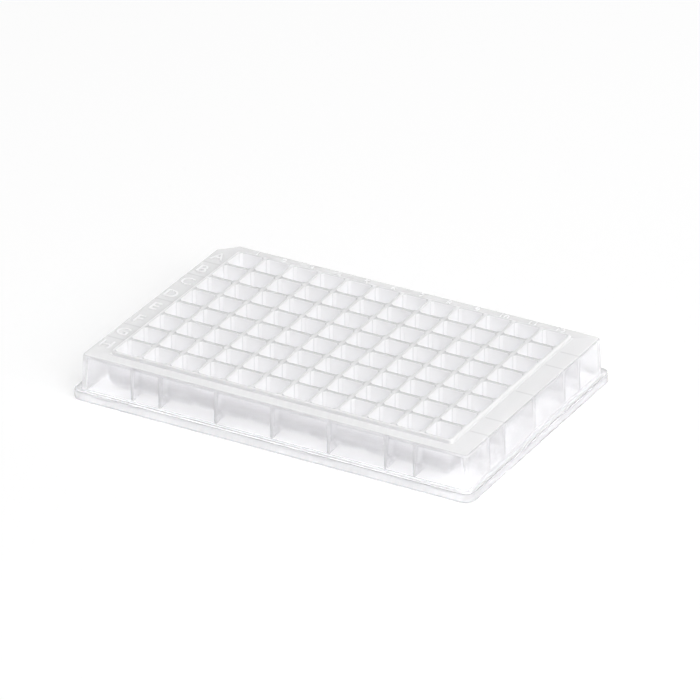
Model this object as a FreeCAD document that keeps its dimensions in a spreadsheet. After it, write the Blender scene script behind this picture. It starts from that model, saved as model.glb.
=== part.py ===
"""A 96-well plate with shallow square wells, moulded in one piece from natural polypropylene.

Frame: millimetres, +Z up, origin on the middle of the surface the plate stands on.
X runs along the columns 1 to 12, and Y towards row A, whose corner beside column 1 is cut off.
The plate is a thin hollow shell (flange, skirt and deck), a block of wells that hangs in it and
stands a little proud of the deck, ribs between the two, and the cavities of the wells.
"""
import FreeCAD
import Part
import math
import os
import Sketcher

SIZES = {
    # footprint that plate readers and stackers expect
    "plate_length": (127.76, "outside of the base flange, along X"),
    "plate_width": (85.48, "outside of the base flange, along Y"),
    "plate_height": (14.35, "base plane to well rims"),
    "base_corner": (3.18, "radius of the flange in plan"),
    "flange_height": (2.6, "base plane to the ledge"),
    "flange_wall": (1.4, "flange thickness at its foot"),
    "ledge_thickness": (1.2, "web that joins the flange to the skirt"),
    "flange_round": (0.4, "rounding of the ledge's outer edge"),
    # skirt and deck
    "end_ledge": (1.9, "ledge in front of the two short walls"),
    "side_ledge": (1.65, "ledge in front of the two long walls"),
    "skirt_draft": (3.0, "lean of the skirt, degrees"),
    "skirt_wall": (1.2, "skirt thickness"),
    "skirt_corner": (2.2, "radius of the skirt at its foot"),
    "corner_cut": (5.4, "setback of the cut corner A1 at the skirt's foot"),
    "deck_thickness": (1.2, "top plate round the wells"),
    "deck_round": (0.5, "rounding of the deck's outer edge"),
    # wells
    "well_columns": (12, "wells along X"),
    "well_rows": (8, "wells along Y"),
    "well_pitch": (9.0, "centre to centre"),
    "well_opening": (8.2, "side of a well at its rim"),
    "well_draft": (2.2, "lean of a well's walls, degrees"),
    "well_corner": (0.9, "setback of a well's upright corners"),
    "well_wall": (0.9, "outer walls and floors of the wells"),
    "bottom_radius": (3.0, "inside radius where a wall turns into the floor"),
    "bottom_facets": (3, "flats that a bend is ground in, wall to floor"),
    "bottom_gap": (2.1, "base plane to the underside of the wells"),
    "rim_rise": (1.0, "well rims above the deck"),
    "rim_corner": (1.8, "plan radius of the raised rim"),
    "rim_bevel": (0.3, "bevel on the raised rim's outer edge"),
    # ribs between the wells and the skirt
    "rib_root": (1.4, "rib thickness at the deck"),
    "rib_tip": (0.7, "rib thickness at its foot"),
}
# column and row boundaries that carry a rib, in pitches from the middle
RIB_COLUMNS = (-5, -4, -2, 0, 2, 4, 5)
RIB_ROWS = (-3, -2, 0, 2, 3)

# lengths that follow from the sizes, as expressions
SKIRT_SLOPE = "tan(sizes.skirt_draft * 1 deg)"
WELL_SLOPE = "tan(sizes.well_draft * 1 deg)"
DECK_TOP = "(sizes.plate_height - sizes.rim_rise)"
DECK_MIDDLE = f"({DECK_TOP} - sizes.deck_thickness / 2)"
SKIRT_LENGTH = f"(sizes.plate_length - 2 * sizes.end_ledge + 2 * sizes.flange_height * {SKIRT_SLOPE})"
SKIRT_WIDTH = f"(sizes.plate_width - 2 * sizes.side_ledge + 2 * sizes.flange_height * {SKIRT_SLOPE})"
FIELD_LENGTH = "((sizes.well_columns - 1) * sizes.well_pitch + sizes.well_opening + 2 * sizes.well_wall)"
FIELD_WIDTH = "((sizes.well_rows - 1) * sizes.well_pitch + sizes.well_opening + 2 * sizes.well_wall)"
FLOOR_TOP = "(sizes.bottom_gap + sizes.well_wall)"
BEND_HEIGHT = f"({FLOOR_TOP} + sizes.bottom_radius)"
BEND_REACH = (
    f"(sizes.well_opening / 2 - (sizes.plate_height - {BEND_HEIGHT}) * {WELL_SLOPE}"
    " - sizes.bottom_radius / cos(sizes.well_draft * 1 deg))"
)
OUTER_BEND = "(sizes.bottom_radius + sizes.well_wall)"
LEAN_DROP = f"({OUTER_BEND} * sin(sizes.well_draft * 1 deg))"

TOUCHING = 1e-6  # two heights this close are the same, in millimetres

doc = FreeCAD.newDocument("well_plate")


def make_sheet():
    """The driving dimensions, one row each: name, value, meaning."""
    sheet = doc.addObject("Spreadsheet::Sheet", "sizes")
    for row, (alias, (value, meaning)) in enumerate(SIZES.items(), start=1):
        sheet.set(f"A{row}", alias)
        sheet.set(f"B{row}", str(value))
        sheet.set(f"C{row}", meaning)
        sheet.setAlias(f"B{row}", alias)
    doc.recompute()
    return sheet


sizes = make_sheet()


def length_of(expression):
    """The number that an expression on the sheet comes to."""
    return float(sizes.evalExpression(expression))


# ---------------------------------------------------------------- sketches and features


def origin_plane(body, role):
    return next(f for f in body.Origin.OriginFeatures if f.Role == role)


def new_sketch(body, name, role="XY_Plane", height=None):
    """A sketch on one of the body's origin planes, raised by an expression if height is given."""
    sketch = body.newObject("Sketcher::SketchObject", name)
    sketch.AttachmentSupport = (origin_plane(body, role), [""])
    sketch.MapMode = "FlatFace"
    if height:
        sketch.setExpression("AttachmentOffset.Base.z", height)
    return sketch


def constrain(sketch, kind, *where, name=None, expression=None):
    """Adds one constraint, named and bound to an expression where it has a size."""
    if expression is None:
        return sketch.addConstraint(Sketcher.Constraint(kind, *where))
    number = sketch.addConstraint(Sketcher.Constraint(kind, *where, length_of(expression)))
    sketch.renameConstraint(number, name)
    sketch.setExpression(f"Constraints.{name}", expression)
    return number


def draw_outline(sketch, length, width, radius, cut=None):
    """A rectangle about the origin with round corners. A cut takes off its back left corner."""
    x = length_of(length) / 2
    y = length_of(width) / 2
    r = length_of(radius)
    c = length_of(cut) if cut else r
    point = FreeCAD.Vector
    sides = [
        Part.LineSegment(point(-x + r, -y), point(x - r, -y)),
        Part.LineSegment(point(x, -y + r), point(x, y - r)),
        Part.LineSegment(point(x - r, y), point(-x + c, y)),
        Part.LineSegment(point(-x, y - c), point(-x, -y + r)),
    ]
    front, right, back, left = (sketch.addGeometry(side, False) for side in sides)
    corners = [
        (front, right, x - r, r - y, -90),
        (right, back, x - r, y - r, 0),
        (left, front, r - x, r - y, 180),
    ]
    if not cut:
        corners.insert(2, (back, left, r - x, y - r, 90))
    arcs = []
    for before, after, centre_x, centre_y, start in corners:
        circle = Part.Circle(point(centre_x, centre_y), point(0, 0, 1), r)
        arc = Part.ArcOfCircle(circle, math.radians(start), math.radians(start + 90))
        arcs.append(sketch.addGeometry(arc, False))
        constrain(sketch, "Tangent", before, 2, arcs[-1], 1)
        constrain(sketch, "Tangent", arcs[-1], 2, after, 1)
    for side in (front, back):
        constrain(sketch, "Horizontal", side)
    for side in (right, left):
        constrain(sketch, "Vertical", side)
    for arc in arcs[1:]:
        constrain(sketch, "Equal", arcs[0], arc)
    constrain(sketch, "Radius", arcs[0], name="corner", expression=radius)
    constrain(sketch, "Symmetric", arcs[-1], 3, arcs[1], 3, -1, 1)
    constrain(sketch, "DistanceX", left, 2, right, 1, name="length", expression=length)
    constrain(sketch, "DistanceY", front, 2, back, 1, name="width", expression=width)
    if cut:
        slant = sketch.addGeometry(Part.LineSegment(point(-x + c, y), point(-x, y - c)), False)
        constrain(sketch, "Coincident", back, 2, slant, 1)
        constrain(sketch, "Coincident", slant, 2, left, 1)
        constrain(sketch, "DistanceX", slant, 2, slant, 1, name="cut_along", expression=cut)
        constrain(sketch, "DistanceY", slant, 2, slant, 1, name="cut_across", expression=cut)


def pad(body, sketch, name, length, taper=None, reverse=False):
    feature = body.newObject("PartDesign::Pad", name)
    feature.Profile = sketch
    feature.Reversed = reverse
    feature.setExpression("Length", length)
    if taper:
        feature.setExpression("TaperAngle", taper)
    doc.recompute()
    return feature


def pocket(body, sketch, name, length, taper=None, reverse=False, both_ways=False):
    """Cuts a sketch out of the body, and makes sure that it took something away."""
    before = body.Shape.Volume
    feature = body.newObject("PartDesign::Pocket", name)
    feature.Profile = sketch
    feature.Reversed = reverse
    feature.Midplane = both_ways
    feature.setExpression("Length", length)
    if taper:
        feature.setExpression("TaperAngle", taper)
    doc.recompute()
    if not body.Shape.Volume < before:
        raise RuntimeError(f"{name} cuts nothing")
    return feature


def edges_at(shape, height):
    """The names of the edges that lie wholly at one height."""
    flat = []
    for number, edge in enumerate(shape.Edges, start=1):
        box = edge.BoundBox
        if max(abs(box.ZMin - height), abs(box.ZMax - height)) < TOUCHING:
            flat.append(f"Edge{number}")
    return flat


def fillet(body, base, name, edges, radius):
    feature = body.newObject("PartDesign::Fillet", name)
    feature.Base = (base, edges)
    feature.setExpression("Radius", radius)
    doc.recompute()
    return feature


def repeat(body, feature, name, role, length, count):
    """Copies a feature along one of the body's axes."""
    pattern = body.newObject("PartDesign::LinearPattern", name)
    pattern.Originals = [feature]
    pattern.Direction = (origin_plane(body, role), [""])
    pattern.setExpression("Length", length)
    pattern.setExpression("Occurrences", count)
    body.Tip = pattern
    doc.recompute()
    return pattern


# ---------------------------------------------------------------- the plate


def make_shell():
    """Flange, skirt and deck: drafted outside, hollow from below, one corner cut off."""
    body = doc.addObject("PartDesign::Body", "shell")
    plan = new_sketch(body, "flange_plan")
    draw_outline(plan, "sizes.plate_length", "sizes.plate_width", "sizes.base_corner")
    flange = pad(body, plan, "flange", "sizes.flange_height")
    ledge_edges = edges_at(flange.Shape, length_of("sizes.flange_height"))
    fillet(body, flange, "flange_round", ledge_edges, "sizes.flange_round")

    plan = new_sketch(body, "skirt_plan")
    draw_outline(plan, SKIRT_LENGTH, SKIRT_WIDTH, "sizes.skirt_corner", "sizes.corner_cut")
    skirt = pad(body, plan, "skirt", DECK_TOP, taper="-sizes.skirt_draft")
    fillet(body, skirt, "deck_round", edges_at(skirt.Shape, length_of(DECK_TOP)), "sizes.deck_round")

    plan = new_sketch(body, "cavity_plan")
    draw_outline(
        plan,
        f"{SKIRT_LENGTH} - 2 * sizes.skirt_wall",
        f"{SKIRT_WIDTH} - 2 * sizes.skirt_wall",
        "sizes.skirt_corner - sizes.skirt_wall / 2",
        "sizes.corner_cut - (2 - sqrt(2)) * sizes.skirt_wall",
    )
    depth = f"{DECK_TOP} - sizes.deck_thickness"
    pocket(body, plan, "cavity", depth, taper="-sizes.skirt_draft", reverse=True)

    plan = new_sketch(body, "foot_plan")
    draw_outline(
        plan,
        "sizes.plate_length - 2 * sizes.flange_wall",
        "sizes.plate_width - 2 * sizes.flange_wall",
        "sizes.base_corner - sizes.flange_wall",
    )
    pocket(body, plan, "foot_recess", "sizes.flange_height - sizes.ledge_thickness", reverse=True)
    return body


def add_bend(sketch, x, z, radius, start, end):
    """A bend ground in equal flats. Returns its construction arc, its first flat and its last."""
    point = FreeCAD.Vector
    circle = Part.Circle(point(x, z), point(0, 0, 1), radius)
    arc = sketch.addGeometry(Part.ArcOfCircle(circle, start, end), True)
    count = round(length_of("sizes.bottom_facets"))
    stops = [start + (end - start) * i / count for i in range(count + 1)]
    corners = [point(x + radius * math.cos(a), z + radius * math.sin(a)) for a in stops]
    flats = [sketch.addGeometry(Part.LineSegment(*ends), False) for ends in zip(corners, corners[1:])]
    constrain(sketch, "Coincident", flats[0], 1, arc, 1)
    constrain(sketch, "Coincident", flats[-1], 2, arc, 2)
    for before, after in zip(flats, flats[1:]):
        constrain(sketch, "Coincident", before, 2, after, 1)
        constrain(sketch, "PointOnObject", after, 1, arc)
        constrain(sketch, "Equal", before, after)
    return arc, flats[0], flats[-1]


def draw_trench(sketch, along):
    """The gap under two neighbouring wells: a bend for each, and the ridge where the bends meet.

    Bends that are too far apart to meet end at the wells' walls, with a flat between them.
    """
    reach = f"(sizes.well_pitch / 2 - {BEND_REACH})"
    x = length_of(along)
    dx = length_of(reach)
    z = length_of(BEND_HEIGHT)
    r = length_of(OUTER_BEND)
    low = length_of("sizes.bottom_gap")
    lean = math.radians(length_of("sizes.well_draft"))
    gap = dx - r * math.cos(lean)
    ridge = lean if gap > 0 else math.acos(dx / r)
    point = FreeCAD.Vector
    left, left_low, left_top = add_bend(sketch, x - dx, z, r, -math.pi / 2, -ridge)
    right, right_top, right_low = add_bend(sketch, x + dx, z, r, math.pi + ridge, 1.5 * math.pi)
    corners = [point(x + dx, low), point(x + dx, 0), point(x - dx, 0), point(x - dx, low)]
    lines = [sketch.addGeometry(Part.LineSegment(*ends), False) for ends in zip(corners, corners[1:])]
    top = [left_top, right_top]
    if gap > 0:
        height = z - r * math.sin(lean)
        flat = sketch.addGeometry(Part.LineSegment(point(x - gap, height), point(x + gap, height)), False)
        constrain(sketch, "Horizontal", flat)
        constrain(sketch, "DistanceY", left, 2, left, 3, name="lean", expression=LEAN_DROP)
        top.insert(1, flat)
    for chain in (top, [right_low, *lines, left_low]):
        for before, after in zip(chain, chain[1:]):
            constrain(sketch, "Coincident", before, 2, after, 1)
    constrain(sketch, "Vertical", lines[0])
    constrain(sketch, "Vertical", lines[2])
    constrain(sketch, "PointOnObject", lines[1], 1, -1)
    constrain(sketch, "PointOnObject", lines[1], 2, -1)
    constrain(sketch, "Vertical", left, 3, left, 1)
    constrain(sketch, "Vertical", right, 3, right, 2)
    constrain(sketch, "Horizontal", left, 3, right, 3)
    constrain(sketch, "Equal", left, right)
    constrain(sketch, "Radius", left, name="bend", expression=OUTER_BEND)
    constrain(sketch, "DistanceX", left, 3, right, 3, name="span", expression=f"2 * {reach}")
    constrain(sketch, "DistanceY", -1, 1, left, 3, name="height", expression=BEND_HEIGHT)
    constrain(sketch, "DistanceX", left, 3, -1, 1, name="place", expression=f"{reach} - ({along})")


def draw_relief(sketch, last_well):
    """What is taken off under the outer side of the last well: one bend, open to the outside."""
    centre = f"({last_well} + {BEND_REACH})"
    x = length_of(centre)
    z = length_of(BEND_HEIGHT)
    r = length_of(OUTER_BEND)
    low = length_of("sizes.bottom_gap")
    lean = math.radians(length_of("sizes.well_draft"))
    point = FreeCAD.Vector
    bend, bend_low, bend_top = add_bend(sketch, x, z, r, -math.pi / 2, -lean)
    top = z - r * math.sin(lean)
    corners = [
        point(x + r * math.cos(lean), top),
        point(x + 2 * r, top),
        point(x + 2 * r, 0),
        point(x, 0),
        point(x, low),
    ]
    lines = [sketch.addGeometry(Part.LineSegment(*ends), False) for ends in zip(corners, corners[1:])]
    for before, after in zip([bend_top, *lines], [*lines, bend_low]):
        constrain(sketch, "Coincident", before, 2, after, 1)
    for line, kind in zip(lines, ("Horizontal", "Vertical", "Horizontal", "Vertical")):
        constrain(sketch, kind, line)
    constrain(sketch, "PointOnObject", lines[2], 2, -1)
    constrain(sketch, "Vertical", bend, 3, bend, 1)
    constrain(sketch, "Radius", bend, name="bend", expression=OUTER_BEND)
    constrain(sketch, "DistanceX", -1, 1, bend, 3, name="centre", expression=centre)
    constrain(sketch, "DistanceY", -1, 1, bend, 3, name="height", expression=BEND_HEIGHT)
    constrain(sketch, "DistanceY", bend, 2, bend, 3, name="lean", expression=LEAN_DROP)
    constrain(sketch, "DistanceX", bend, 3, lines[1], 1, name="outside", expression=f"2 * {OUTER_BEND}")


def make_well_block():
    """The block that holds the wells: raised rim on top, a round-bottomed bulge under each well."""
    body = doc.addObject("PartDesign::Body", "well_block")
    block = body.newObject("PartDesign::AdditiveWedge", "block")
    shrink = f"({DECK_MIDDLE} - sizes.bottom_gap) * {WELL_SLOPE}"
    for side, expression in {
        "Xmin": f"-{FIELD_LENGTH} / 2", "Xmax": f"{FIELD_LENGTH} / 2",
        "X2min": f"-{FIELD_LENGTH} / 2 + {shrink}", "X2max": f"{FIELD_LENGTH} / 2 - {shrink}",
        "Zmin": f"-{FIELD_WIDTH} / 2", "Zmax": f"{FIELD_WIDTH} / 2",
        "Z2min": f"-{FIELD_WIDTH} / 2 + {shrink}", "Z2max": f"{FIELD_WIDTH} / 2 - {shrink}",
        "Ymax": f"{DECK_MIDDLE} - sizes.bottom_gap",
    }.items():
        block.setExpression(side, expression)
    block.Ymin = 0
    block.AttachmentSupport = (origin_plane(body, "XY_Plane"), [""])
    block.MapMode = "FlatFace"
    block.AttachmentOffset.Rotation = FreeCAD.Rotation(FreeCAD.Vector(1, 0, 0), -90)
    block.setExpression("AttachmentOffset.Base.z", DECK_MIDDLE)
    doc.recompute()

    for name, count, role, axis, side, across in (
        ("column", "sizes.well_columns", "XZ_Plane", "X_Axis", "YZ_Plane", FIELD_WIDTH),
        ("row", "sizes.well_rows", "YZ_Plane", "Y_Axis", "XZ_Plane", FIELD_LENGTH),
    ):
        span = f"({count} - 2) * sizes.well_pitch"
        through = f"{across} + 2 * sizes.well_pitch"
        profile = new_sketch(body, f"{name}_trench_profile", role)
        draw_trench(profile, f"-{span} / 2")
        trench = pocket(body, profile, f"{name}_trench", through, both_ways=True)
        repeat(body, trench, f"{name}_trenches", axis, span, f"{count} - 1")
        profile = new_sketch(body, f"{name}_relief_profile", role)
        draw_relief(profile, f"({count} - 1) * sizes.well_pitch / 2")
        relief = pocket(body, profile, f"{name}_relief", through, both_ways=True)
        mirror = body.newObject("PartDesign::Mirrored", f"{name}_reliefs")
        mirror.Originals = [relief]
        mirror.MirrorPlane = (origin_plane(body, side), [""])
        body.Tip = mirror
        doc.recompute()

    plan = new_sketch(body, "rim_plan", height=DECK_MIDDLE)
    draw_outline(plan, FIELD_LENGTH, FIELD_WIDTH, "sizes.rim_corner")
    rim = pad(body, plan, "rim", f"sizes.plate_height - {DECK_MIDDLE}")
    top_edges = edges_at(rim.Shape, length_of("sizes.plate_height"))
    bevel = body.newObject("PartDesign::Chamfer", "rim_bevel")
    bevel.Base = (rim, top_edges)
    bevel.setExpression("Size", "sizes.rim_bevel")
    doc.recompute()
    return body


def make_rib(name, angle, offset, field, skirt):
    """An upright rib that thins towards its foot, turned by angle from +X.

    It runs from the valley between two wells at the edge of the field to the middle of the skirt's wall.
    """
    rib = doc.addObject("Part::Wedge", name)
    rib.Ymin = 0
    inner = f"{field} / 2 - {OUTER_BEND}"
    wall_middle = f"{skirt} / 2 - sizes.skirt_wall / 2"
    for side, expression in {
        "Xmin": inner, "Xmax": f"{wall_middle} - sizes.flange_height * {SKIRT_SLOPE}",
        "X2min": inner, "X2max": f"{wall_middle} - {DECK_MIDDLE} * {SKIRT_SLOPE}",
        "Zmin": "-sizes.rib_tip / 2", "Zmax": "sizes.rib_tip / 2",
        "Z2min": "-sizes.rib_root / 2", "Z2max": "sizes.rib_root / 2",
        "Ymax": f"{DECK_MIDDLE} - sizes.flange_height",
    }.items():
        rib.setExpression(side, expression)
    upright = FreeCAD.Rotation(FreeCAD.Vector(1, 0, 0), 90)
    turn = FreeCAD.Rotation(FreeCAD.Vector(0, 0, 1), angle)
    rib.Placement.Rotation = turn * upright
    axis = "x" if angle % 180 else "y"
    rib.setExpression(f"Placement.Base.{axis}", f"{offset} * sizes.well_pitch")
    rib.setExpression("Placement.Base.z", "sizes.flange_height")
    return rib


def make_ribs():
    """Ribs from the skirt to the well block, under the column and row boundaries."""
    ribs = []
    for number, boundary in enumerate(RIB_COLUMNS, start=1):
        ribs.append(make_rib(f"front_rib_{number}", -90, boundary, FIELD_WIDTH, SKIRT_WIDTH))
        ribs.append(make_rib(f"back_rib_{number}", 90, boundary, FIELD_WIDTH, SKIRT_WIDTH))
    for number, boundary in enumerate(RIB_ROWS, start=1):
        ribs.append(make_rib(f"right_rib_{number}", 0, boundary, FIELD_LENGTH, SKIRT_LENGTH))
        ribs.append(make_rib(f"left_rib_{number}", 180, boundary, FIELD_LENGTH, SKIRT_LENGTH))
    doc.recompute()
    return ribs


def draw_well_profile(sketch):
    """Upright section of a well's cavity: leaning walls, bends and a flat floor."""
    top = length_of("sizes.plate_height")
    low = length_of(FLOOR_TOP)
    bend = length_of(BEND_HEIGHT)
    reach = length_of(BEND_REACH)
    half = length_of("sizes.well_opening / 2")
    r = length_of("sizes.bottom_radius")
    lean = math.radians(length_of("sizes.well_draft"))
    point = FreeCAD.Vector
    foot = point(reach + r * math.cos(lean), bend - r * math.sin(lean))
    right_bend = add_bend(sketch, reach, bend, r, -math.pi / 2, -lean)[0]
    left_bend = add_bend(sketch, -reach, bend, r, math.pi + lean, 1.5 * math.pi)[0]
    floor, right_wall, mouth, left_wall = (
        sketch.addGeometry(Part.LineSegment(*ends), False)
        for ends in (
            (point(-reach, low), point(reach, low)),
            (foot, point(half, top)),
            (point(half, top), point(-half, top)),
            (point(-half, top), point(-foot.x, foot.y)),
        )
    )
    for chain in ((floor, right_bend, right_wall), (left_wall, left_bend, floor)):
        for before, after in zip(chain, chain[1:]):
            constrain(sketch, "Tangent", before, 2, after, 1)
    constrain(sketch, "Coincident", right_wall, 2, mouth, 1)
    constrain(sketch, "Coincident", mouth, 2, left_wall, 1)
    constrain(sketch, "Horizontal", floor)
    constrain(sketch, "Symmetric", mouth, 1, mouth, 2, -2)
    constrain(sketch, "Equal", right_bend, left_bend)
    constrain(sketch, "Equal", right_wall, left_wall)
    constrain(sketch, "Radius", right_bend, name="bend", expression="sizes.bottom_radius")
    constrain(sketch, "DistanceX", mouth, 2, mouth, 1, name="opening", expression="sizes.well_opening")
    constrain(sketch, "DistanceY", -1, 1, mouth, 1, name="rim_height", expression="sizes.plate_height")
    constrain(sketch, "DistanceY", -1, 1, floor, 1, name="floor_height", expression=FLOOR_TOP)
    constrain(sketch, "DistanceX", right_wall, 1, right_wall, 2, name="lean",
              expression=f"(sizes.plate_height - {BEND_HEIGHT}"
                         f" + sizes.bottom_radius * sin(sizes.well_draft * 1 deg)) * {WELL_SLOPE}")


def extrude(sketch, name, length):
    """A solid extrusion of a free sketch, half of it to each side."""
    feature = doc.addObject("Part::Extrusion", name)
    feature.Base = sketch
    feature.DirMode = "Normal"
    feature.Solid = True
    feature.Symmetric = True
    feature.setExpression("LengthFwd", length)
    return feature


def make_well_core():
    """The shape of one well's cavity: two round-bottomed profiles that cross, less the upright corners."""
    parts = []
    for name, turn in (("across", 0), ("along", 90)):
        sketch = doc.addObject("Sketcher::SketchObject", f"profile_{name}")
        upright = FreeCAD.Rotation(FreeCAD.Vector(1, 0, 0), 90)
        sketch.Placement.Rotation = FreeCAD.Rotation(FreeCAD.Vector(0, 0, 1), turn) * upright
        draw_well_profile(sketch)
        parts.append(extrude(sketch, f"core_{name}", "sizes.well_pitch"))
    trim = doc.addObject("Part::Wedge", "corner_trim")
    half = "(sizes.well_opening - sizes.well_corner) / sqrt(2)"
    shrink = f"sqrt(2) * sizes.plate_height * {WELL_SLOPE}"
    for side, expression in {
        "Xmin": f"-{half} + {shrink}", "Xmax": f"{half} - {shrink}", "X2min": f"-{half}", "X2max": half,
        "Zmin": f"-{half} + {shrink}", "Zmax": f"{half} - {shrink}", "Z2min": f"-{half}", "Z2max": half,
        "Ymax": "sizes.plate_height",
    }.items():
        trim.setExpression(side, expression)
    trim.Ymin = 0
    upright = FreeCAD.Rotation(FreeCAD.Vector(1, 0, 0), 90)
    trim.Placement.Rotation = FreeCAD.Rotation(FreeCAD.Vector(0, 0, 1), 45) * upright
    parts.append(trim)
    core = doc.addObject("Part::MultiCommon", "well_core")
    core.Shapes = parts
    doc.recompute()
    return core


def array_of_cores(core):
    """The cavity at each of the plate's well positions."""
    pitch = length_of("sizes.well_pitch")
    columns = round(length_of("sizes.well_columns"))
    rows = round(length_of("sizes.well_rows"))
    copies = []
    for column in range(columns):
        for row in range(rows):
            x = (column - (columns - 1) / 2) * pitch
            y = (row - (rows - 1) / 2) * pitch
            copies.append(core.Shape.translated(FreeCAD.Vector(x, y, 0)))
    cores = doc.addObject("Part::Feature", "well_cores")
    cores.Shape = Part.makeCompound(copies)
    return cores


def make_plate():
    """Joins shell, block and ribs, and opens the wells in them."""
    blank = doc.addObject("Part::MultiFuse", "blank")
    blank.Shapes = [make_shell(), make_well_block(), *make_ribs()]
    blank.Refine = True
    plate = doc.addObject("Part::Cut", "well_plate")
    plate.Base = blank
    plate.Tool = array_of_cores(make_well_core())
    plate.Refine = True
    plate.Label = "well_plate"
    doc.recompute()
    return plate


def check_document():
    for item in doc.Objects:
        if "Invalid" in item.State or "Error" in item.State:
            raise RuntimeError(f"{item.Label} is in state {item.State}")


def main():
    plate = make_plate()
    check_document()
    shape = plate.Shape
    if shape.isNull() or not shape.isValid() or len(shape.Solids) != 1:
        raise RuntimeError("the plate isn't one valid solid")
    os.makedirs("parts", exist_ok=True)
    shape.exportStep(f"parts/{plate.Label}.step")
    print(plate.Label, "volume", round(shape.Volume), "mm3", "faces", len(shape.Faces))


main()
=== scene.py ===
"""A 96-well plate of natural polypropylene on a pale table, lit by soft studio panels.

Metres, +Z up, with the origin on the table under the middle of the plate.
The plate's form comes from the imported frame: its edges are softened, and the marks are added.
"""

import math

import bmesh
import bpy
from mathutils import Matrix, Vector


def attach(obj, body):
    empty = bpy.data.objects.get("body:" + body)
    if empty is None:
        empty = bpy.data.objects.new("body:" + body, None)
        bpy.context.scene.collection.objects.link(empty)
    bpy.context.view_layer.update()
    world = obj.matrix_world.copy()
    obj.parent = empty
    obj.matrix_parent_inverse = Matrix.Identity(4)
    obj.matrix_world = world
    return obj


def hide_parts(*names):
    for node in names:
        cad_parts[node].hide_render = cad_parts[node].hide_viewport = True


MM = 0.001
WHITE = (1, 1, 1, 1)

# view of the plate
TURN = math.radians(28.935)
TILT = math.radians(27.484)
ROLL = math.radians(0.191)
DISTANCE = 1.7585
FAR_CLIP = 20
LENS = 321.7
AIM = Vector((4.045, -2.744, 14.35)) * MM

# light: an even tent, and panels given by name, azimuth, elevation, distance, width, height and
# radiance
TENT_LIGHT = 0.48
PANELS = (
    ("ceiling", 0, 90, 3.0, 4.4, 4.4, 0.65),
    ("window", -25, 40, 3.0, 2.6, 2.6, 1.9),
)

# table: its glow adds up over the kinds of ray that see it
TABLE_HALF = 3
TABLE_GAP = 0.02 * MM
TABLE_COLOUR = (0.8, 0.8, 0.8, 1)
TABLE_ROUGHNESS = 0.6
TABLE_GLOW = {"Is Camera Ray": 0.22, "Is Glossy Ray": 0.2, "Is Transmission Ray": 0.42}

# plastic
TINT = (0.98, 0.978, 0.99, 1)
HAZE = (0.995, 0.997, 1, 1)
INDEX = 1.49
GLOSS = 0.22
FROST = 0.26
MILKINESS = 400
DEPTH = 1.0 * MM

# clearness is 1 where light goes straight through, 0 where it all scatters at the surface; it is
# set part by part as painted light and shade, to give each part of the one plastic the lightness it
# shows
CLEAR_SKIRT = 0.98
CLEAR_FLANGE = 0.8
CLEAR_DECK = 0.25
# painted shade: clearer lines over the ribs, where they show through the deck darker
CLEAR_OVER_RIBS = 0.35
# painted shade: the clear, darker band on the block's outer side, seen through the skirt
CLEAR_BLOCK_SHADE = 0.8
# painted light and shade on the ribs: clear at the foot, where they show darker, cloudy at the top,
# where they show lighter
CLEAR_RIB_FEET = 0.9
CLEAR_RIB_TOPS = 0.1
# painted shade: the step up to the wells' rim is half clear, which shows as a darker band
CLEAR_STEP_SHADE = 0.5
# painted shade: a darker line down each well's corner; the corners themselves painted a touch
# lighter
CLEAR_SHADE_LINE = 0.13
CLEAR_WELLS = 0.03
CLEAR_CORNERS = 0.0
# painted shade on the wall tops: clear, and so darker, along the row walls, less so along the
# column walls
CLEAR_ROW_TOPS = 0.35
CLEAR_COLUMN_TOPS = 0.18

# zones in plan: half length and half width of the wells, of their block and of the skirt's inside
PITCH = 9 * MM
FIELD = (53.8 * MM, 35.8 * MM)
BLOCK = (54.6 * MM, 36.6 * MM)
SHELL = (60.1 * MM, 39.2 * MM)
BLEND = 0.2 * MM

# zones by height
FLANGE_TOP = 2.6 * MM
DECK_UNDER = 12.95 * MM
DECK_FACE = 13.3 * MM
DECK_FACE_BLEND = 0.04 * MM
STEP_FOOT = 13.2 * MM
TOP_BAND = (14.15 * MM, 14.3 * MM)
RIB_FADE = (6.0 * MM, 10.0 * MM)

# lines where the ribs show through the ends of the deck: the ribs are real, and the deck over them
# is painted clearer so that they show as darker lines
END_BAND = (55.0 * MM, 55.5 * MM)
RIB_ROWS = (0, 18 * MM, 27 * MM)
RIB_LINE = (0.2 * MM, 0.45 * MM)

# wells: their walls thicken downwards; a painted dark line runs down each corner, and the corners
# are painted a touch lighter
RIM = 14.35 * MM
WALL_SLOPE = math.tan(math.radians(2.2))
WALL_BAND = (0.4 * MM, 0.8 * MM)
# painted shade: how far the darker line in each corner is set in from the row wall, and how far the
# lighter corner reaches
SHADE_LINE = 1.3 * MM
SHADE_LINE_BAND = (0.1 * MM, 0.25 * MM)
SHADE_LINE_REACH = (0.8 * MM, 1.0 * MM)

# outer side of the well block, painted shade: clear, and so darker, between a scalloped lower edge
# and a band under the deck, cloudy and lighter below the edge and under the deck; the scalloped
# edge stands in for the wells' rounded bottoms seen through the skirt
SHADE_EDGE_WALL = 5.2 * MM
SHADE_EDGE_WELL = 3.9 * MM
SHADE_EDGE_BAND = (0.3 * MM, 2.5 * MM)
SHADE_EDGE_BLUR = 0.8 * MM
# where the painted shade on the block's side gives way to cloudy, lighter plastic under the deck
SHADE_TOP = (7.5 * MM, 10.5 * MM)

# edges
SAME_POINT = 0.002 * MM
FLAT_UNDER = math.radians(0.5)
EDGE_ROUND = 0.3 * MM
EDGE_SEGMENTS = 2
SMOOTH_UNDER = math.radians(32)

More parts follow.
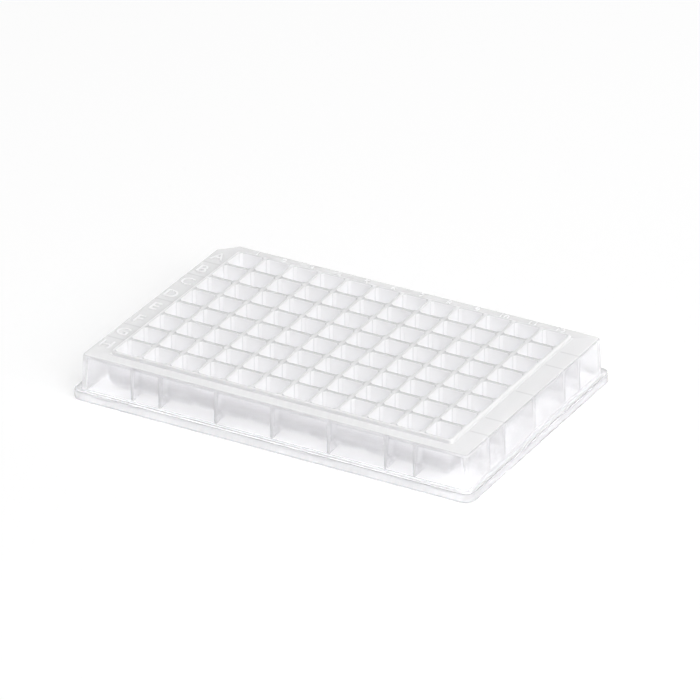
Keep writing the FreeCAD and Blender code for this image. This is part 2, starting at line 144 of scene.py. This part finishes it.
# marks
ROWS = "ABCDEFGH"
COLUMNS = 12
DECK = 13.35 * MM
RAISED = 0.16 * MM
SUNK = 0.05 * MM
MARK_SEGMENTS = 4
MARK_SAME_POINT = 0.001 * MM
LETTER_SIZE = 4.2 * MM
LETTER_X = -58.4 * MM
NUMBER_SIZE = 2.4 * MM
NUMBER_Y = 38.4 * MM

# light paths: long enough for walls behind walls of milky plastic, with nothing blurred
LIGHT_PATHS = {
    "max_bounces": 32,
    "transmission_bounces": 32,
    "glossy_bounces": 16,
    "diffuse_bounces": 12,
    "volume_bounces": 32,
    "blur_glossy": 0,
}


def place(name, data):
    """A new object in the scene."""
    thing = bpy.data.objects.new(name, data)
    bpy.context.scene.collection.objects.link(thing)
    return thing


def make_camera():
    camera = place("camera", bpy.data.cameras.new("camera"))
    camera.data.lens = LENS
    camera.data.clip_end = FAR_CLIP
    turn = Matrix.Rotation(TURN, 4, "Z") @ Matrix.Rotation(math.pi / 2 - TILT, 4, "X")
    away = turn @ Vector((0, 0, DISTANCE))
    camera.matrix_world = Matrix.Translation(AIM + away) @ turn @ Matrix.Rotation(ROLL, 4, "Z")
    bpy.context.scene.camera = camera


def feed(tree, socket, value):
    """Sets a socket to a number, or links it to another node's output."""
    if isinstance(value, (int, float)):
        socket.default_value = value
    else:
        tree.links.new(value, socket)


def calc(tree, operation, *values):
    node = tree.nodes.new("ShaderNodeMath")
    node.operation = operation
    for socket, value in zip(node.inputs, values):
        feed(tree, socket, value)
    return node.outputs[0]


def ramp(tree, value, low, high, at_low, at_high):
    """A straight ramp, level beyond its ends."""
    node = tree.nodes.new("ShaderNodeMapRange")
    ends = {"Value": value, "From Min": low, "From Max": high, "To Min": at_low, "To Max": at_high}
    for name, end in ends.items():
        feed(tree, node.inputs[name], end)
    return node.outputs["Result"]


def above(tree, z, height, below_it, above_it):
    """One value below a height, another above it, with a short blend between."""
    return ramp(tree, z, height - BLEND, height + BLEND, below_it, above_it)


def from_walls(tree, axis):
    """Distance from the middle of the nearest wall between two wells."""
    return calc(tree, "PINGPONG", axis, PITCH / 2)


def beyond(tree, x, y, half_sizes):
    """0 inside a rectangle about the middle, 1 outside it."""
    past = [
        calc(tree, "SUBTRACT", calc(tree, "ABSOLUTE", axis), half)
        for axis, half in zip((x, y), half_sizes)
    ]
    return ramp(tree, calc(tree, "MAXIMUM", *past), -BLEND, BLEND, 0.0, 1.0)


def over_ribs(tree, axis, ribs):
    """1 on the lines where a rib meets the deck, on both sides of the middle."""
    from_middle = calc(tree, "ABSOLUTE", axis)
    off = [calc(tree, "ABSOLUTE", calc(tree, "SUBTRACT", from_middle, rib)) for rib in ribs]
    nearest = off[0]
    for other in off[1:]:
        nearest = calc(tree, "MINIMUM", nearest, other)
    return ramp(tree, nearest, *RIB_LINE, 1.0, 0.0)


def clear_wells(tree, x, y, z):
    """Cloudy walls and floors, with painted light and shade: clearer and darker along the wall
    tops, most along the row walls, a clearer, darker line down each corner, and the corners a touch
    cloudier and lighter.
    """
    widening = calc(tree, "MULTIPLY", calc(tree, "SUBTRACT", RIM, z), WALL_SLOPE)
    from_column = calc(tree, "SUBTRACT", from_walls(tree, x), widening)
    from_row = calc(tree, "SUBTRACT", from_walls(tree, y), widening)
    from_wall = calc(tree, "MAXIMUM", from_row, from_column)
    # painted light and shade in each corner: a touch cloudier and lighter, with a clearer, darker
    # line down it
    corners = ramp(tree, from_wall, SHADE_LINE - BLEND, SHADE_LINE, CLEAR_CORNERS, CLEAR_WELLS)
    off_shade_line = calc(tree, "ABSOLUTE", calc(tree, "SUBTRACT", from_row, SHADE_LINE))
    shade_line = ramp(tree, off_shade_line, *SHADE_LINE_BAND, CLEAR_SHADE_LINE, corners)
    walls = ramp(tree, from_column, *SHADE_LINE_REACH, shade_line, corners)
    # painted shade: the wall tops darker along the row walls than along the column walls
    tops = ramp(tree, from_walls(tree, x), *WALL_BAND, CLEAR_COLUMN_TOPS, CLEAR_ROW_TOPS)
    return ramp(tree, z, *TOP_BAND, walls, tops)


def clear_block(tree, x, y, z):
    """The block's outer side, painted shade: cloudy below a scalloped edge, clear and so darker
    above it, cloudy at the deck, and a darker half-clear band on the rim's step.
    """
    # painted shade: the block's side is clear, and so darker, above a scalloped edge where the
    # wells' bottoms show through the skirt
    edge = ramp(tree, from_walls(tree, x), *SHADE_EDGE_BAND, SHADE_EDGE_WALL, SHADE_EDGE_WELL)
    above_edge = calc(tree, "SUBTRACT", z, edge)
    under_deck = ramp(tree, z, *SHADE_TOP, CLEAR_BLOCK_SHADE, CLEAR_WELLS)
    side = ramp(tree, above_edge, -SHADE_EDGE_BLUR, SHADE_EDGE_BLUR, CLEAR_WELLS, under_deck)
    across = calc(tree, "ABSOLUTE", y)
    # painted shade: a darker, half-clear band on the step up to the rim
    step = ramp(tree, across, FIELD[1], BLOCK[1], CLEAR_WELLS, CLEAR_STEP_SHADE)
    return ramp(tree, z, STEP_FOOT, STEP_FOOT + BLEND, side, step)


def clear_deck_face(tree, x, y):
    """The deck's top, painted cloudy and lighter, with clearer thin lines over the ribs at both
    ends, where the ribs show through darker.
    """
    past_end = ramp(tree, calc(tree, "ABSOLUTE", x), *END_BAND, 0.0, 1.0)
    lines = calc(tree, "MULTIPLY", over_ribs(tree, y, RIB_ROWS), past_end)
    return ramp(tree, lines, 0.0, 1.0, CLEAR_DECK, CLEAR_OVER_RIBS)


def clear_skirt(tree, z, deck_face):
    """Flange, skirt and the deck's outer edge."""
    skirt = above(tree, z, FLANGE_TOP, CLEAR_FLANGE, CLEAR_SKIRT)
    return ramp(tree, z, DECK_FACE, DECK_FACE + DECK_FACE_BLEND, skirt, deck_face)


def zones(tree):
    """Clearness and roughness over the whole plate, from places on it; the clearness is painted
    light and shade.
    """
    where = tree.nodes.new("ShaderNodeTexCoord")
    axes = tree.nodes.new("ShaderNodeSeparateXYZ")
    tree.links.new(where.outputs["Object"], axes.inputs[0])
    x, y, z = axes.outputs
    deck_face = clear_deck_face(tree, x, y)
    # painted light and shade: the ribs darker at their feet and lighter at their tops
    ribs = ramp(tree, z, *RIB_FADE, CLEAR_RIB_FEET, CLEAR_RIB_TOPS)
    deck = above(tree, z, DECK_UNDER, ribs, deck_face)
    wells = clear_wells(tree, x, y, z)
    block = clear_block(tree, x, y, z)
    inside = ramp(tree, beyond(tree, x, y, FIELD), 0.0, 1.0, wells, block)
    inside = ramp(tree, beyond(tree, x, y, BLOCK), 0.0, 1.0, inside, deck)
    in_skirt = beyond(tree, x, y, SHELL)
    clear = ramp(tree, in_skirt, 0.0, 1.0, inside, clear_skirt(tree, z, deck_face))
    return clear, ramp(tree, in_skirt, 0.0, 1.0, GLOSS, FROST)


def polypropylene(name):
    """Pale, slightly cool plastic."""
    material = bpy.data.materials.new(name)
    material.use_nodes = True
    shader = material.node_tree.nodes["Principled BSDF"]
    shader.inputs["Base Color"].default_value = TINT
    shader.inputs["Roughness"].default_value = GLOSS
    shader.inputs["IOR"].default_value = INDEX
    return material


def plate_plastic():
    """Polypropylene that lets light through, with the amount set place by place as painted light
    and shade.
    """
    material = polypropylene("natural polypropylene")
    tree = material.node_tree
    shader = tree.nodes["Principled BSDF"]
    clear, rough = zones(tree)
    shader.inputs["Subsurface Weight"].default_value = 1
    shader.inputs["Subsurface Radius"].default_value = (1, 1, 1)
    shader.inputs["Subsurface Scale"].default_value = DEPTH
    tree.links.new(clear, shader.inputs["Transmission Weight"])
    tree.links.new(rough, shader.inputs["Roughness"])
    volume = tree.nodes.new("ShaderNodeVolumeScatter")
    volume.inputs["Color"].default_value = HAZE
    volume.inputs["Density"].default_value = MILKINESS
    tree.links.new(volume.outputs["Volume"], tree.nodes["Material Output"].inputs["Volume"])
    return material


def soften(node, name):
    """A copy of a CAD node with its flat faces joined up and its edges rounded."""
    mesh = bmesh.new()
    mesh.from_mesh(node.data)
    bmesh.ops.remove_doubles(mesh, verts=mesh.verts, dist=SAME_POINT)
    bmesh.ops.dissolve_limit(mesh, angle_limit=FLAT_UNDER, verts=mesh.verts, edges=mesh.edges)
    data = bpy.data.meshes.new(name)
    mesh.to_mesh(data)
    mesh.free()
    piece = place(name, data)
    bevel = piece.modifiers.new("edge round", "BEVEL")
    bevel.width = EDGE_ROUND
    bevel.segments = EDGE_SEGMENTS
    bevel.limit_method = "ANGLE"
    bevel.angle_limit = SMOOTH_UNDER
    bevel.harden_normals = True
    data.shade_smooth()
    return piece


def text_mesh(name, text):
    """Words as a plain mesh, at the font's own size."""
    curve = bpy.data.curves.new(name, "FONT")
    curve.body = text
    curve.align_x = "CENTER"
    curve.align_y = "CENTER"
    curve.extrude = (RAISED + SUNK) / 2
    curve.resolution_u = MARK_SEGMENTS
    words = place(name + "_text", curve)
    bpy.context.view_layer.update()
    data = bpy.data.meshes.new_from_object(words)
    bpy.data.objects.remove(words)
    return data


def make_mark(name, text, x, y, size, material):
    """A raised letter or number that reads from the front, its foot sunk in the deck."""
    data = text_mesh(name, text)
    low, high = (pick(v.co.y for v in data.vertices) for pick in (min, max))
    left, right = (pick(v.co.x for v in data.vertices) for pick in (min, max))
    scale = size / (high - low)
    to_middle = (-(left + right) / 2, -(low + high) / 2, 0)
    to_deck = (x, y, DECK + (RAISED - SUNK) / 2)
    mesh = bmesh.new()
    mesh.from_mesh(data)
    bmesh.ops.translate(mesh, verts=mesh.verts, vec=to_middle)
    bmesh.ops.scale(mesh, verts=mesh.verts, vec=(scale, scale, 1))
    bmesh.ops.translate(mesh, verts=mesh.verts, vec=to_deck)
    bmesh.ops.remove_doubles(mesh, verts=mesh.verts, dist=MARK_SAME_POINT)
    mesh.to_mesh(data)
    mesh.free()
    data.name = name
    data.materials.clear()
    data.materials.append(material)
    piece = place(name, data)
    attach(piece, "root")


def make_marks(material):
    """Letters down the left side of the deck and numbers along the back."""
    for row, letter in enumerate(ROWS):
        y = ((len(ROWS) - 1) / 2 - row) * PITCH
        make_mark(f"letter_{letter}", letter, LETTER_X, y, LETTER_SIZE, material)
    for column in range(COLUMNS):
        x = (column - (COLUMNS - 1) / 2) * PITCH
        number = str(column + 1)
        make_mark(f"number_{number}", number, x, NUMBER_Y, NUMBER_SIZE, material)


def table_white():
    """Pale and matt, with a glow that makes it white to the camera and through the plastic."""
    material = bpy.data.materials.new("table white")
    material.use_nodes = True
    tree = material.node_tree
    shader = tree.nodes["Principled BSDF"]
    shader.inputs["Base Color"].default_value = TABLE_COLOUR
    shader.inputs["Roughness"].default_value = TABLE_ROUGHNESS
    shader.inputs["Specular IOR Level"].default_value = 0
    rays = tree.nodes.new("ShaderNodeLightPath")
    glow = 0
    for kind, strength in TABLE_GLOW.items():
        glow = calc(tree, "MULTIPLY_ADD", rays.outputs[kind], strength, glow)
    shader.inputs["Emission Color"].default_value = WHITE
    tree.links.new(glow, shader.inputs["Emission Strength"])
    return material


def make_table():
    """A wide table a hair below the plate, so that no two faces lie in one plane."""
    mesh = bmesh.new()
    low = Matrix.Translation((0, 0, -TABLE_GAP))
    bmesh.ops.create_grid(mesh, x_segments=1, y_segments=1, size=TABLE_HALF, matrix=low)
    data = bpy.data.meshes.new("table")
    mesh.to_mesh(data)
    mesh.free()
    table = place("table", data)
    data.materials.append(table_white())


def make_tent():
    """Even light from all round. What the camera sees of it is white."""
    world = bpy.data.worlds.new("tent")
    world.use_nodes = True
    tree = world.node_tree
    rays = tree.nodes.new("ShaderNodeLightPath")
    background = tree.nodes["Background"]
    background.inputs["Color"].default_value = WHITE
    strength = ramp(tree, rays.outputs["Is Camera Ray"], 0, 1, TENT_LIGHT, 1)
    tree.links.new(strength, background.inputs["Strength"])
    bpy.context.scene.world = world


def make_panels():
    for name, azimuth, elevation, distance, width, height, radiance in PANELS:
        light = bpy.data.lights.new(name, "AREA")
        light.shape = "RECTANGLE"
        light.size = width
        light.size_y = height
        light.energy = radiance * math.pi * width * height
        turn = Matrix.Rotation(math.radians(azimuth + 90), 4, "Z")
        tilt = Matrix.Rotation(math.radians(90 - elevation), 4, "X")
        place(name, light).matrix_world = turn @ tilt @ Matrix.Translation((0, 0, distance))


def make_plate(node, material):
    plate = soften(node, "plate")
    plate.data.materials.clear()
    plate.data.materials.append(material)
    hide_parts("well_plate")
    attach(plate, "root")


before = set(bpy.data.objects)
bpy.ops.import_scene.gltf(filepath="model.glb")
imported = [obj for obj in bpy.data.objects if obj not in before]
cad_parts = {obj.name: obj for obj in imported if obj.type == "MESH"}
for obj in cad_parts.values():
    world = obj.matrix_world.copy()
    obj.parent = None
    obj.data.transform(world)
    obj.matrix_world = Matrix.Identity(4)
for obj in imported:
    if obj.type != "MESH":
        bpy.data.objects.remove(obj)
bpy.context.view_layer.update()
make_plate(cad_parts["well_plate"], plate_plastic())
# the marks are the plate's plastic made opaque, so that they show lighter than the deck: painted
# light
make_marks(polypropylene("polypropylene painted lighter"))
make_table()
make_tent()
make_panels()
make_camera()
bpy.context.scene.view_settings.view_transform = "Standard"
for setting, value in LIGHT_PATHS.items():
    setattr(bpy.context.scene.cycles, setting, value)
